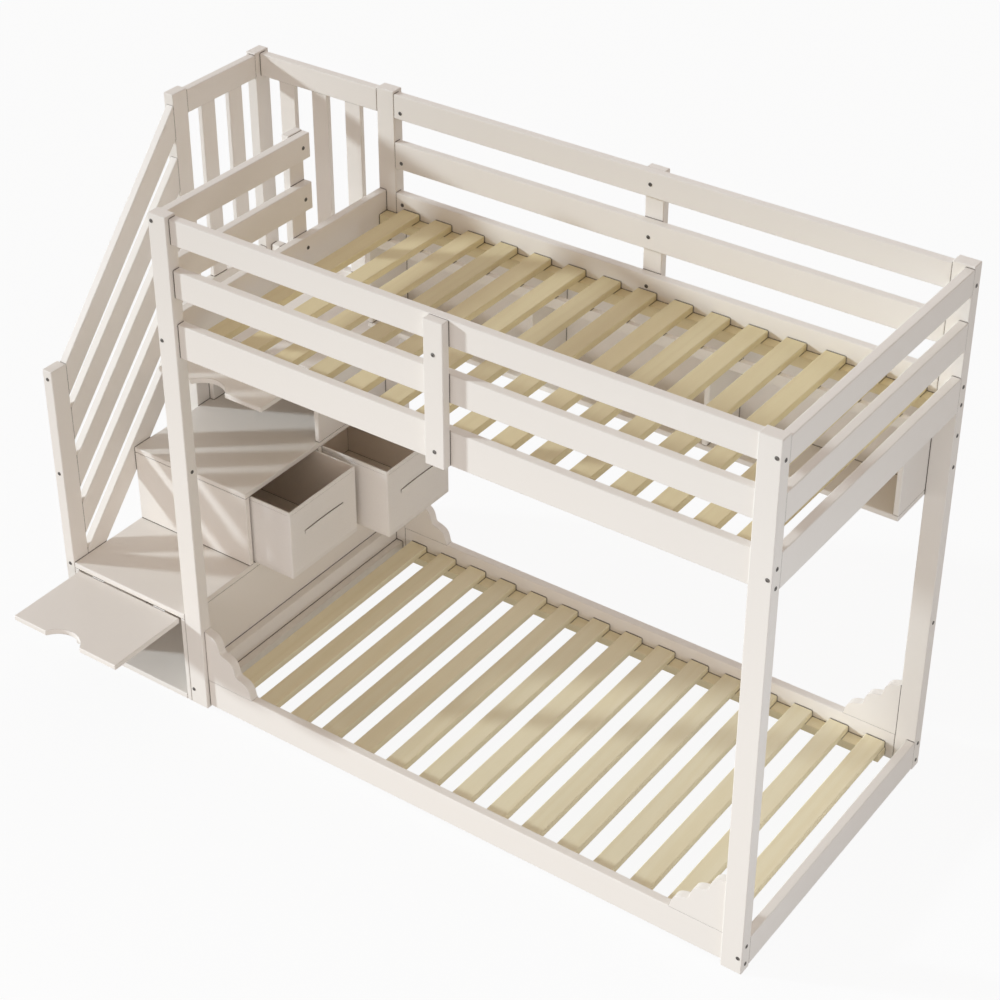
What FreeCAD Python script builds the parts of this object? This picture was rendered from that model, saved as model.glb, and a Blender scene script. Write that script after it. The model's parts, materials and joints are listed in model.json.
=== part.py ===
import FreeCAD, Part
import math
import os

Vector = FreeCAD.Vector

# A bunk bed whose head end is reached by a flight of box stairs with storage in every step.
# Millimetres. The sizes below are laid out from the outer foot of the front left bed post:
# +X runs along the bed to its foot end, +Y runs from the front to the back, +Z is up.
# The stairs stand on the -X side. Every piece is moved to the row's origin when it is written.

# ---------------------------------------------------------------- bed frame
bed_length = 1990.0
bed_width = 1064.0
post_above_guards = 8.0
post_width = 66.0
post_depth = 42.0
board_thickness = 28.0
edge_ease = 2.0

# The boards from the floor up: the heights of the boards, and the gaps below the guards.
floor_rail_bottom = 7.0
floor_rail_height = 100.0
deck_rail_bottom = 1276.0
deck_rail_height = 110.0
guard_low_gap = 85.0
guard_low_height = 88.0
guard_top_gap = 81.0
guard_top_height = 80.0

# Short posts and battens that carry the guard boards between the bed posts.
batten_width = 63.0
batten_offset = -6.0
batten_below_post_top = 10.0
entry_post_back = 667.0
entry_post_below_post_top = 6.0
cleat_width = 30.0
cleat_front = 538.0

# ---------------------------------------------------------------- slatted decks
slat_width = 65.0
slat_spacing = 124.0
slat_end_room = 66.5
slat_thickness = 23.0
slat_end_gap = 2.0
lower_ledger_depth = 46.0
lower_ledger_height = 30.0
lower_ledger_above_rail_bottom = 7.0
upper_ledger_depth = 40.0
upper_ledger_height = 39.0
ledger_past_slats = 2.5
end_cleat_width = 27.0
end_cleat_height = 32.0

# ---------------------------------------------------------------- scalloped brackets
bracket_length = 178.0
bracket_height = 190.0
bracket_lobes = 3
bracket_lobe_bulge = 17.0

# ---------------------------------------------------------------- hanging shelf
shelf_front = 860.0
shelf_height = 296.0
shelf_bays = 3
shelf_panel = 18.0

# ---------------------------------------------------------------- stairs
stair_width = 468.0
panel = 18.0
tread_thickness = 20.0
upper_tread_thickness = 18.0
base_floor_thickness = 20.0
tread_one_top = 341.0
tread_two_top = 614.0
tread_three_top = 885.0
step_two_front = 310.0
step_three_front = 674.0
bay_divider_front = 667.0

# ---------------------------------------------------------------- stair posts and guards
stair_post_thickness = 38.0
stair_post_depth = 64.0
stair_front_post_height = 1046.0
stair_middle_post_front = 616.5
rake_thickness = 28.0
rake_height = 112.0
handrail_below_post_top = 35.0
rake_bar_count = 4
rake_bar_pitch = 176.0
first_bar_drop_low_end = 163.0
landing_rail_below_post_top = 6.0
landing_rail_height = 76.0
landing_foot_rail_above_tread = 75.0
landing_foot_rail_height = 80.0
landing_slat_width = 62.0
landing_slat_thickness = 18.0
side_slat_count = 2
back_slat_count = 3

# ---------------------------------------------------------------- lift-up flaps
flap_side_gap = 2.5
lower_flap_foot_gap = 14.0
upper_flap_foot_gap = 8.0
flap_thickness = 18.0
notch_width = 144.0
notch_depth = 43.5
notch_offset = -7.0

# ---------------------------------------------------------------- butt hinges
hinge_leaf = 0.9
hinge_leaf_gap = 0.2
hinge_leaf_reach = 17.0
hinge_length = 48.0
hinge_spacing = 260.0
hinge_out = 1.0
knuckle_radius = 2.0
knuckle_end_gap = 0.3
pin_radius = 1.0
pin_running_gap = 0.05

# ---------------------------------------------------------------- storage bins
bin_width = 326.0
bin_length = 430.0
bin_height = 251.0
bin_wall = 5.0
bin_seat_gap = 0.3
front_bin_pulled_out = 157.0
rear_bin_pulled_out = 264.0
rear_bin_side_gap = 3.0

# ---------------------------------------------------------------- bolts
bolt_radius = 6.0
bolt_proud = 1.5
post_bolt_inset = 13.0
left_bolt_below_top = 23.0
right_bolt_below_top = 54.0
side_bolt_below_top = 65.0
batten_bolt_below_top = 109.0
inner_bolt_above_board = 40.0
corner_bolt_above_board = 22.0
corner_bolt_inset = 24.0
rail_bolt_above_board = 47.0
floor_bolt_above_board = 48.0
pair_low_above_deck_board = 15.0
pair_high_above_deck_board = 73.0
pair_low_above_floor_board = 19.0
pair_high_above_floor_board = 84.0
shelf_bolt_high_drop = 84.0
shelf_bolt_low_drop = 188.0
left_post_bolt_height = 883.0
right_post_bolt_height = 546.0
stair_post_bolt_inset = 30.0
stair_post_bolt_below_tread = 10.0

# ---------------------------------------------------------------- planes worked out from the above
guard_low_bottom = deck_rail_bottom + deck_rail_height + guard_low_gap
guard_top_bottom = guard_low_bottom + guard_low_height + guard_top_gap
post_height = guard_top_bottom + guard_top_height + post_above_guards
front_board_y = post_depth - board_thickness
back_board_y = bed_width - post_depth
inner_front_y = post_depth
inner_back_y = bed_width - post_depth
foot_board_x = bed_length - board_thickness
right_post_x = bed_length - post_width
stair_left_x = -stair_width
stair_post_x = stair_left_x - stair_post_thickness
stair_back_panel_y = bed_width - panel
stair_back_post_y = bed_width - stair_post_depth
stair_middle_post_back = stair_middle_post_front + stair_post_depth
tread_one_under = tread_one_top - tread_thickness
tread_two_under = tread_two_top - upper_tread_thickness
tread_three_under = tread_three_top - tread_thickness
lower_ledger_bottom = floor_rail_bottom + lower_ledger_above_rail_bottom
lower_ledger_top = lower_ledger_bottom + lower_ledger_height
upper_ledger_top = deck_rail_bottom + upper_ledger_height
slat_start = board_thickness + slat_end_room
slat_run = bed_length - 2.0 * slat_start
slat_gaps = max(1, round((slat_run - slat_width) / slat_spacing))
slat_pitch = (slat_run - slat_width) / slat_gaps
front_batten_y = front_board_y - board_thickness
back_batten_y = back_board_y + board_thickness
batten_x = bed_length / 2.0 + batten_offset - batten_width / 2.0
hinge_drop = hinge_leaf + hinge_leaf_gap / 2.0
flap_x0 = stair_left_x + panel + flap_side_gap
flap_x1 = -panel - flap_side_gap

# Planes of the bounding box, whose bottom centre is the row's origin.
lower_flap_room = tread_one_under - base_floor_thickness
lower_flap_height = lower_flap_room - 2.0 * hinge_drop - lower_flap_foot_gap
upper_flap_room = tread_three_under - tread_two_top
upper_flap_height = upper_flap_room - 2.0 * hinge_drop - upper_flap_foot_gap
box_front_y = -hinge_out - hinge_drop - lower_flap_height
box_back_y = back_batten_y + board_thickness
box_left_x = stair_post_x
box_right_x = bed_length + bolt_proud
origin = Vector((box_left_x + box_right_x) / 2.0, (box_front_y + box_back_y) / 2.0, 0.0)


# ---------------------------------------------------------------- helpers
def eased(solid, ease):
    """Take the sharp arris off every edge of a straight-edged solid."""
    box = solid.BoundBox
    wall = min(box.XLength, box.YLength, box.ZLength)
    return solid.makeChamfer(min(ease, wall / 5.0), solid.Edges)


def board(x0, x1, y0, y1, z0, z1, ease=edge_ease):
    """A sawn board between three pairs of planes, its arrises eased."""
    solid = Part.makeBox(x1 - x0, y1 - y0, z1 - z0, Vector(x0, y0, z0))
    return eased(solid, ease)


def plate(x0, x1, y0, y1, z0, z1):
    """A thin or sharp-edged plate between three pairs of planes."""
    return Part.makeBox(x1 - x0, y1 - y0, z1 - z0, Vector(x0, y0, z0))


def write(node, solids):
    """Write one named piece, or one group of like pieces, moved to the row's origin."""
    shape = solids[0] if len(solids) == 1 else Part.makeCompound(solids)
    shape = shape.copy()
    shape.translate(origin * -1.0)
    shape.exportStep("parts/" + node + ".step")


# ---------------------------------------------------------------- bed frame
def bed_posts():
    """The four corner posts, full height."""
    places = {
        "post_front_left": (0.0, 0.0),
        "post_front_right": (right_post_x, 0.0),
        "post_back_left": (0.0, inner_back_y),
        "post_back_right": (right_post_x, inner_back_y),
    }
    for node, (x, y) in places.items():
        write(node, [board(x, x + post_width, y, y + post_depth, 0.0, post_height)])


def level_boards(bottom, height):
    """The front, back, foot and head boards of one level, between the posts."""
    top = bottom + height
    front = board(post_width, right_post_x, front_board_y, inner_front_y, bottom, top)
    back = board(post_width, right_post_x, back_board_y, back_batten_y, bottom, top)
    foot = board(foot_board_x, bed_length, inner_front_y, inner_back_y, bottom, top)
    head = board(0.0, board_thickness, inner_front_y, inner_back_y, bottom, top)
    return front, back, foot, head


def entry_guard_board(bottom, height):
    """A head guard board, which stops at the entry post beside the way in."""
    return board(0.0, board_thickness, inner_front_y, entry_post_back, bottom, bottom + height)


def bed_boards():
    """Guard boards above the deck, deck rails and floor rails on all four sides."""
    top_level = level_boards(guard_top_bottom, guard_top_height)
    low_level = level_boards(guard_low_bottom, guard_low_height)
    deck_level = level_boards(deck_rail_bottom, deck_rail_height)
    floor_level = level_boards(floor_rail_bottom, floor_rail_height)
    sides = ("front", "back", "foot", "head")
    for index, side in enumerate(sides):
        guards = [top_level[index], low_level[index]]
        if side == "head":
            guards = [
                entry_guard_board(guard_top_bottom, guard_top_height),
                entry_guard_board(guard_low_bottom, guard_low_height),
            ]
        write(side + "_guards", guards)
        write(side + "_deck_rail", [deck_level[index]])
        write(side + "_floor_rail", [floor_level[index]])


def battens():
    """The mid battens outside the long sides, the entry post and the joining cleat."""
    top = post_height - batten_below_post_top
    x1 = batten_x + batten_width
    write("front_batten", [board(batten_x, x1, front_batten_y, front_board_y, deck_rail_bottom, top)])
    write("back_batten", [board(batten_x, x1, back_batten_y, box_back_y, deck_rail_bottom, top)])
    entry_top = post_height - entry_post_below_post_top
    entry_front = entry_post_back - batten_width
    write("entry_post", [board(-board_thickness, 0.0, entry_front, entry_post_back,
                               deck_rail_bottom, entry_top)])
    cleat_top = deck_rail_bottom + deck_rail_height
    write("joining_cleat", [board(-board_thickness, 0.0, cleat_front, cleat_front + cleat_width,
                                  deck_rail_bottom, cleat_top)])


# ---------------------------------------------------------------- slatted decks
def slats(bottom):
    """One deck of evenly spaced slats whose undersides lie at the given height."""
    y0 = inner_front_y + slat_end_gap
    y1 = inner_back_y - slat_end_gap
    deck = []
    for index in range(slat_gaps + 1):
        x0 = slat_start + index * slat_pitch
        deck.append(board(x0, x0 + slat_width, y0, y1, bottom, bottom + slat_thickness))
    return deck


def ledger_pair(x0, x1, depth, bottom, top):
    """The two long ledgers that carry the slat ends, on the inner faces of the side rails."""
    front = board(x0, x1, inner_front_y, inner_front_y + depth, bottom, top)
    back = board(x0, x1, inner_back_y - depth, inner_back_y, bottom, top)
    return [front, back]


def decks():
    """Both slatted decks with their ledgers."""
    write("upper_ledgers", ledger_pair(board_thickness, foot_board_x, upper_ledger_depth,
                                       deck_rail_bottom, upper_ledger_top))
    write("upper_slats", slats(upper_ledger_top))
    x0 = slat_start - ledger_past_slats
    x1 = slat_start + slat_run + ledger_past_slats
    write("lower_ledgers", ledger_pair(x0, x1, lower_ledger_depth,
                                       lower_ledger_bottom, lower_ledger_top))
    write("lower_slats", slats(lower_ledger_top))
    write("lower_end_cleat", [board(board_thickness, board_thickness + end_cleat_width,
                                    inner_front_y, inner_back_y, lower_ledger_bottom,
                                    lower_ledger_bottom + end_cleat_height)])


# ---------------------------------------------------------------- scalloped brackets
def scalloped_edge(start, end, lobes, bulge):
    """Equal arcs bulging to the left of the way from start to end, in one vertical plane."""
    step = (end - start) * (1.0 / lobes)
    outward = Vector(-step.z, 0.0, step.x)
    outward.normalize()
    edges = []
    for index in range(lobes):
        first = start + step * index
        last = first + step
        crown = (first + last) * 0.5 + outward * bulge
        edges.append(Part.Arc(first, crown, last).toShape())
    return edges


def bracket(post_face_x, direction, y0):
    """One bracket on a floor rail, its scalloped edge falling from the post to the rail."""
    rail_top = floor_rail_bottom + floor_rail_height
    heel = Vector(post_face_x, y0, rail_top)
    high = heel + Vector(0.0, 0.0, bracket_height)
    tip = heel + Vector(direction * bracket_length, 0.0, 0.0)
    ends = (high, tip) if direction > 0 else (tip, high)
    curve = scalloped_edge(ends[0], ends[1], bracket_lobes, bracket_lobe_bulge)
    straight = [Part.makeLine(ends[1], heel), Part.makeLine(heel, ends[0])]
    outline = Part.Wire(Part.__sortEdges__(curve + straight))
    solid = Part.Face(outline).extrude(Vector(0.0, board_thickness, 0.0))
    return solid


def brackets():
    """The four brackets that stiffen the floor rails against the posts."""
    write("bracket_front_left", [bracket(post_width, 1.0, front_board_y)])
    write("bracket_front_right", [bracket(right_post_x, -1.0, front_board_y)])
    write("bracket_back_left", [bracket(post_width, 1.0, back_board_y)])
    write("bracket_back_right", [bracket(right_post_x, -1.0, back_board_y)])


# ---------------------------------------------------------------- hanging shelf
def shelf():
    """The open shelf unit between the back posts, with a front rail that bears the slats."""
    x0 = post_width
    x1 = right_post_x
    bottom = deck_rail_bottom - shelf_height
    back_y = bed_width - shelf_panel
    write("shelf_back", [board(x0, x1, back_y, bed_width, bottom, deck_rail_bottom)])
    write("shelf_long_boards", [
        board(x0, x1, shelf_front, back_y, bottom, bottom + shelf_panel),
        board(x0, x1, shelf_front, shelf_front + shelf_panel, deck_rail_bottom, upper_ledger_top),
    ])
    pitch = (x1 - x0 - shelf_panel) / shelf_bays
    uprights = []
    for index in range(shelf_bays + 1):
        x = x0 + index * pitch
        uprights.append(board(x, x + shelf_panel, shelf_front, back_y,
                              bottom + shelf_panel, deck_rail_bottom))
    write("shelf_uprights", uprights)


# ---------------------------------------------------------------- box stairs
def stair_base():
    """The base box: floor, two sides and the first tread, open to the front."""
    inner_x0 = stair_left_x + panel
    write("base_floor", [board(inner_x0, -panel, 0.0, stair_back_panel_y,
                               0.0, base_floor_thickness)])
    write("base_sides", [
        board(stair_left_x, inner_x0, 0.0, stair_back_panel_y, 0.0, tread_one_under),
        board(-panel, 0.0, 0.0, stair_back_panel_y, 0.0, tread_one_under),
    ])
    write("tread_one", [board(stair_left_x, 0.0, 0.0, stair_back_panel_y,
                              tread_one_under, tread_one_top)])
    write("stair_back_panel", [board(stair_left_x, 0.0, stair_back_panel_y, bed_width,
                                     0.0, tread_three_under)])


def bin_bays():
    """The second step: a closed riser, and two bays open to the lower bunk."""
    riser_back = step_two_front + panel
    write("riser_two", [board(stair_left_x, 0.0, step_two_front, riser_back,
                              tread_one_top, tread_two_under)])
    write("bay_outer_side", [board(stair_left_x, stair_left_x + panel, riser_back,
                                   stair_back_panel_y, tread_one_top, tread_two_under)])
    write("bay_divider", [board(stair_left_x + panel, 0.0, bay_divider_front,
                                bay_divider_front + panel, tread_one_top, tread_two_under)])
    write("tread_two", [board(stair_left_x, 0.0, step_two_front, stair_back_panel_y,
                              tread_two_under, tread_two_top)])


def landing_box():
    """The third step: a box open to the front, with the landing on top."""
    inner_x0 = stair_left_x + panel
    write("landing_box_sides", [
        board(stair_left_x, inner_x0, step_three_front, stair_back_panel_y,
              tread_two_top, tread_three_under),
        board(-panel, 0.0, step_three_front, stair_back_panel_y,
              tread_two_top, tread_three_under),
    ])
    write("tread_three", [board(stair_left_x, 0.0, step_three_front, bed_width,
                                tread_three_under, tread_three_top)])


# ---------------------------------------------------------------- stair posts and guards
def stair_posts():
    """The three posts on the outer side of the stairs."""
    write("stair_post_front", [board(stair_post_x, stair_left_x, 0.0, stair_post_depth,
                                     0.0, stair_front_post_height)])
    write("stair_post_middle", [board(stair_post_x, stair_left_x, stair_middle_post_front,
                                      stair_middle_post_back, 0.0, post_height)])
    write("stair_post_back", [board(stair_post_x, stair_left_x, stair_back_post_y,
                                    bed_width, 0.0, post_height)])


def raked_member(low_top, high_top):
    """A sloping board between the front and middle stair posts, its ends cut upright."""
    x = stair_left_x - rake_thickness
    low = Vector(x, stair_post_depth, low_top)
    high = Vector(x, stair_middle_post_front, high_top)
    drop = Vector(0.0, 0.0, -rake_height)
    outline = Part.makePolygon([low, high, high + drop, low + drop, low])
    solid = Part.Face(outline).extrude(Vector(rake_thickness, 0.0, 0.0))
    return eased(solid, edge_ease)


def raked_guard():
    """The handrail and the sloping bars below it."""
    high_end = post_height - handrail_below_post_top
    write("stair_handrail", [raked_member(stair_front_post_height, high_end)])
    low_end = stair_front_post_height - first_bar_drop_low_end
    bars = []
    for index in range(rake_bar_count):
        low_top = low_end - index * rake_bar_pitch
        high_top = high_end - (index + 1) * rake_bar_pitch
        bars.append(raked_member(low_top, high_top))
    write("stair_bars", bars)


def spaced(start, end, count, width):
    """Lower edges of equal widths set between two planes with equal gaps."""
    gap = (end - start - count * width) / (count + 1)
    return [start + gap + index * (width + gap) for index in range(count)]


def landing_guards():
    """Guard rails and upright slats round the landing, on the outer side and at the back."""
    top_z1 = post_height - landing_rail_below_post_top
    top_z0 = top_z1 - landing_rail_height
    foot_z0 = tread_three_top + landing_foot_rail_above_tread
    foot_z1 = foot_z0 + landing_foot_rail_height
    side_x0 = stair_left_x - board_thickness
    side_y0 = stair_middle_post_back
    side_y1 = stair_back_post_y
    write("landing_side_rail", [board(side_x0, stair_left_x, side_y0, side_y1, top_z0, top_z1)])
    write("landing_side_foot_rail", [board(side_x0, stair_left_x, side_y0, side_y1,
                                           foot_z0, foot_z1)])
    write("landing_back_rail", [board(stair_left_x, 0.0, back_board_y, back_batten_y,
                                      top_z0, top_z1)])
    write("landing_back_foot_rail", [board(stair_left_x, 0.0, back_board_y, back_batten_y,
                                           foot_z0, foot_z1)])
    slat_inset = (board_thickness - landing_slat_thickness) / 2.0
    slats_x0 = side_x0 + slat_inset
    slats_y0 = back_board_y + slat_inset
    uprights = []
    for y in spaced(side_y0, side_y1, side_slat_count, landing_slat_width):
        uprights.append(board(slats_x0, slats_x0 + landing_slat_thickness,
                              y, y + landing_slat_width, foot_z1, top_z0))
    for x in spaced(stair_left_x, 0.0, back_slat_count, landing_slat_width):
        uprights.append(board(x, x + landing_slat_width,
                              slats_y0, slats_y0 + landing_slat_thickness, foot_z1, top_z0))
    write("landing_guard_slats", uprights)


# ---------------------------------------------------------------- lift-up flaps
def flap(front_y, under_tread, height):
    """A flap held out level in front of its box, with a finger notch in its free edge."""
    back = front_y - hinge_out - hinge_drop
    top = under_tread - hinge_drop - hinge_out
    leaf = board(flap_x0, flap_x1, back - height, back, top - flap_thickness, top)
    radius = (notch_width * notch_width / 4.0 + notch_depth * notch_depth) / (2.0 * notch_depth)
    centre = Vector((flap_x0 + flap_x1) / 2.0 + notch_offset,
                    back - height + notch_depth - radius, top - 2.0 * flap_thickness)
    return leaf.cut(Part.makeCylinder(radius, 4.0 * flap_thickness, centre))


def hinge_axis(front_y, under_tread):
    """The middle of the hinge line, just in front of the tread's lower front edge."""
    centre = (flap_x0 + flap_x1) / 2.0
    return Vector(centre, front_y - hinge_out, under_tread - hinge_drop)


def barrel(x0, x1, radius, axis):
    """A cylinder round the hinge axis."""
    return Part.makeCylinder(radius, x1 - x0, Vector(x0, axis.y, axis.z), Vector(1.0, 0.0, 0.0))


def fixed_leaf(axis):
    """The leaf under the tread, with the two outer knuckles and the pin."""
    x0 = axis.x - hinge_length / 2.0
    third = hinge_length / 3.0
    z1 = axis.z + hinge_drop
    leaf = plate(x0, x0 + hinge_length, axis.y, axis.y + knuckle_radius + hinge_leaf_reach,
                 z1 - hinge_leaf, z1)
    room = plate(x0 + third - knuckle_end_gap, x0 + 2.0 * third + knuckle_end_gap,
                 axis.y - knuckle_radius, axis.y + knuckle_radius + hinge_leaf_gap,
                 z1 - 2.0 * hinge_leaf, z1 + hinge_leaf)
    leaf = leaf.cut(room)
    near = barrel(x0, x0 + third - knuckle_end_gap, knuckle_radius, axis)
    far = barrel(x0 + 2.0 * third + knuckle_end_gap, x0 + hinge_length, knuckle_radius, axis)
    pin = barrel(x0, x0 + hinge_length, pin_radius, axis)
    return leaf.fuse([near, far, pin]).removeSplitter()


def moving_leaf(axis):
    """The leaf on the back edge of the open flap, with the middle knuckle."""
    x0 = axis.x - hinge_length / 2.0
    third = hinge_length / 3.0
    y0 = axis.y - hinge_drop
    foot = axis.z - knuckle_radius - hinge_leaf_reach
    leaf = plate(x0, x0 + hinge_length, y0, y0 + hinge_leaf, foot,
                 axis.z - knuckle_radius - hinge_leaf_gap)
    neck = plate(x0 + third, x0 + 2.0 * third, y0, y0 + hinge_leaf,
                 axis.z - knuckle_radius - hinge_leaf_gap, axis.z)
    knuckle = barrel(x0 + third, x0 + 2.0 * third, knuckle_radius, axis)
    bore = barrel(x0, x0 + hinge_length, pin_radius + pin_running_gap, axis)
    return leaf.fuse([neck, knuckle]).cut(bore).removeSplitter()


def flaps():
    """Both flaps, and the pair of butt hinges that carries each."""
    places = {
        "lower": (0.0, tread_one_under, lower_flap_height),
        "upper": (step_three_front, tread_three_under, upper_flap_height),
    }
    fixed = []
    for name, (front_y, under_tread, height) in places.items():
        write("flap_" + name, [flap(front_y, under_tread, height)])
        middle = hinge_axis(front_y, under_tread)
        half = Vector(hinge_spacing / 2.0, 0.0, 0.0)
        axes = (middle - half, middle + half)
        fixed += [fixed_leaf(axis) for axis in axes]
        write("flap_hinges_" + name, [moving_leaf(axis) for axis in axes])
    write("fixed_hinges", fixed)


# ---------------------------------------------------------------- storage bins
def bin_box(pulled_out, y0):
    """An open fabric bin standing on the bay floor, pulled out past the side of the stairs."""
    x0 = pulled_out - bin_length
    z0 = tread_one_top + bin_seat_gap
    outer = board(x0, pulled_out, y0, y0 + bin_width, z0, z0 + bin_height)
    inner = plate(x0 + bin_wall, pulled_out - bin_wall, y0 + bin_wall, y0 + bin_width - bin_wall,
                  z0 + bin_wall, z0 + 2.0 * bin_height)
    return outer.cut(inner)


def bins():
    """The two bins, one to each bay."""
    bay_front = step_two_front + panel
    front_y = bay_front + (bay_divider_front - bay_front - bin_width) / 2.0
    rear_y = bay_divider_front + panel + rear_bin_side_gap
    write("bin_front", [bin_box(front_bin_pulled_out, front_y)])
    write("bin_rear", [bin_box(rear_bin_pulled_out, rear_y)])


# ---------------------------------------------------------------- bolts
def bolt(place, way):
    """One bolt head standing a little proud of the face it clamps."""
    return Part.makeCylinder(bolt_radius, bolt_proud, place, way)


def bolt_heads():
    """Every bolt head that shows on the outer faces, the back boards and the entry post."""
    front = Vector(0.0, -1.0, 0.0)
    right = Vector(1.0, 0.0, 0.0)
    rail_z = deck_rail_bottom + rail_bolt_above_board
    floor_z = floor_rail_bottom + floor_bolt_above_board
    left_z = (post_height - left_bolt_below_top, rail_z, floor_z)
    right_z = (post_height - right_bolt_below_top, rail_z, floor_z)
    heads = [bolt(Vector(post_bolt_inset, 0.0, z), front) for z in left_z]
    heads += [bolt(Vector(bed_length - post_bolt_inset, 0.0, z), front) for z in right_z]

    near_y = post_depth / 2.0
    far_y = bed_width - post_depth / 2.0
    end_z = (
        post_height - side_bolt_below_top,
        deck_rail_bottom + pair_high_above_deck_board,
        deck_rail_bottom + pair_low_above_deck_board,
        floor_rail_bottom + pair_high_above_floor_board,
        floor_rail_bottom + pair_low_above_floor_board,
    )
    shelf_z = (
        deck_rail_bottom - shelf_bolt_high_drop,
        deck_rail_bottom - shelf_bolt_low_drop,
        right_post_bolt_height,
    )
    heads += [bolt(Vector(bed_length, near_y, z), right) for z in end_z]
    heads += [bolt(Vector(bed_length, far_y, z), right) for z in end_z + shelf_z]
    heads.append(bolt(Vector(post_width, near_y, left_post_bolt_height), right))

    batten_centre = batten_x + batten_width / 2.0
    for z in (post_height - batten_bolt_below_top, rail_z):
        heads.append(bolt(Vector(batten_centre, front_batten_y, z), front))
    inner_z = (
        guard_top_bottom + inner_bolt_above_board,
        guard_low_bottom + inner_bolt_above_board,
        deck_rail_bottom + pair_high_above_deck_board,
    )
    for z in inner_z:
        heads.append(bolt(Vector(batten_centre, inner_back_y, z), front))
        heads.append(bolt(Vector(board_thickness, entry_post_back - batten_width / 2.0, z), right))

    corner_z = (
        guard_top_bottom + corner_bolt_above_board,
        guard_low_bottom + corner_bolt_above_board,
        deck_rail_bottom + pair_high_above_deck_board,
    )
    corner_x = post_width + corner_bolt_inset
    heads += [bolt(Vector(corner_x, inner_back_y, z), front) for z in corner_z]

    stair_bolt_x = stair_post_x + stair_post_thickness / 2.0
    high_z = stair_front_post_height - stair_post_bolt_inset
    low_z = tread_one_top - stair_post_bolt_below_tread
    for z in (low_z, (low_z + high_z) / 2.0, high_z):
        heads.append(bolt(Vector(stair_bolt_x, 0.0, z), front))
    write("bolt_heads", heads)


def main():
    os.makedirs("parts", exist_ok=True)
    bed_posts()
    bed_boards()
    battens()
    decks()
    brackets()
    shelf()
    stair_base()
    bin_bays()
    landing_box()
    stair_posts()
    raked_guard()
    landing_guards()
    flaps()
    bins()
    bolt_heads()


if __name__ == "__main__":
    main()
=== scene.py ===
"""Looks of a bunk bed with storage stairs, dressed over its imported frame."""

from __future__ import annotations

import json
import logging
import math
from dataclasses import dataclass
from enum import Enum

import bmesh
import bpy
from mathutils import Euler, Matrix, Vector


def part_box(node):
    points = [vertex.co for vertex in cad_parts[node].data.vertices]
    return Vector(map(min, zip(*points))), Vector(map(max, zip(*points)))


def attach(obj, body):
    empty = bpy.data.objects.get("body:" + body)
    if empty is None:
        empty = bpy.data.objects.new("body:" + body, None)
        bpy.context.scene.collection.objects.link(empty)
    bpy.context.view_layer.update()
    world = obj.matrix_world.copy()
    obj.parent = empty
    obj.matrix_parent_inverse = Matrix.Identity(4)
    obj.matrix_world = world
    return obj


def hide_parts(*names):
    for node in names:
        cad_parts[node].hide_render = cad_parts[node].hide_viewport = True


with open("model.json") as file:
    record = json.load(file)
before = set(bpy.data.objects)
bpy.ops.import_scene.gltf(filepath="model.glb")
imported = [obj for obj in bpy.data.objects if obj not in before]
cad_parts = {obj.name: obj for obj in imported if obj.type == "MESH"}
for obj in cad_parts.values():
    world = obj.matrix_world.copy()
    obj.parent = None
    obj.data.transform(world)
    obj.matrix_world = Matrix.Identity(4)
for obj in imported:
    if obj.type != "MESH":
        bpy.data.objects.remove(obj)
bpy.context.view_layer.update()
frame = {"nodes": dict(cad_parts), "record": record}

LOG = logging.getLogger("bunk_bed")
ROOT = "bed_and_stairs"
Color = tuple[float, float, float, float]


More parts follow.
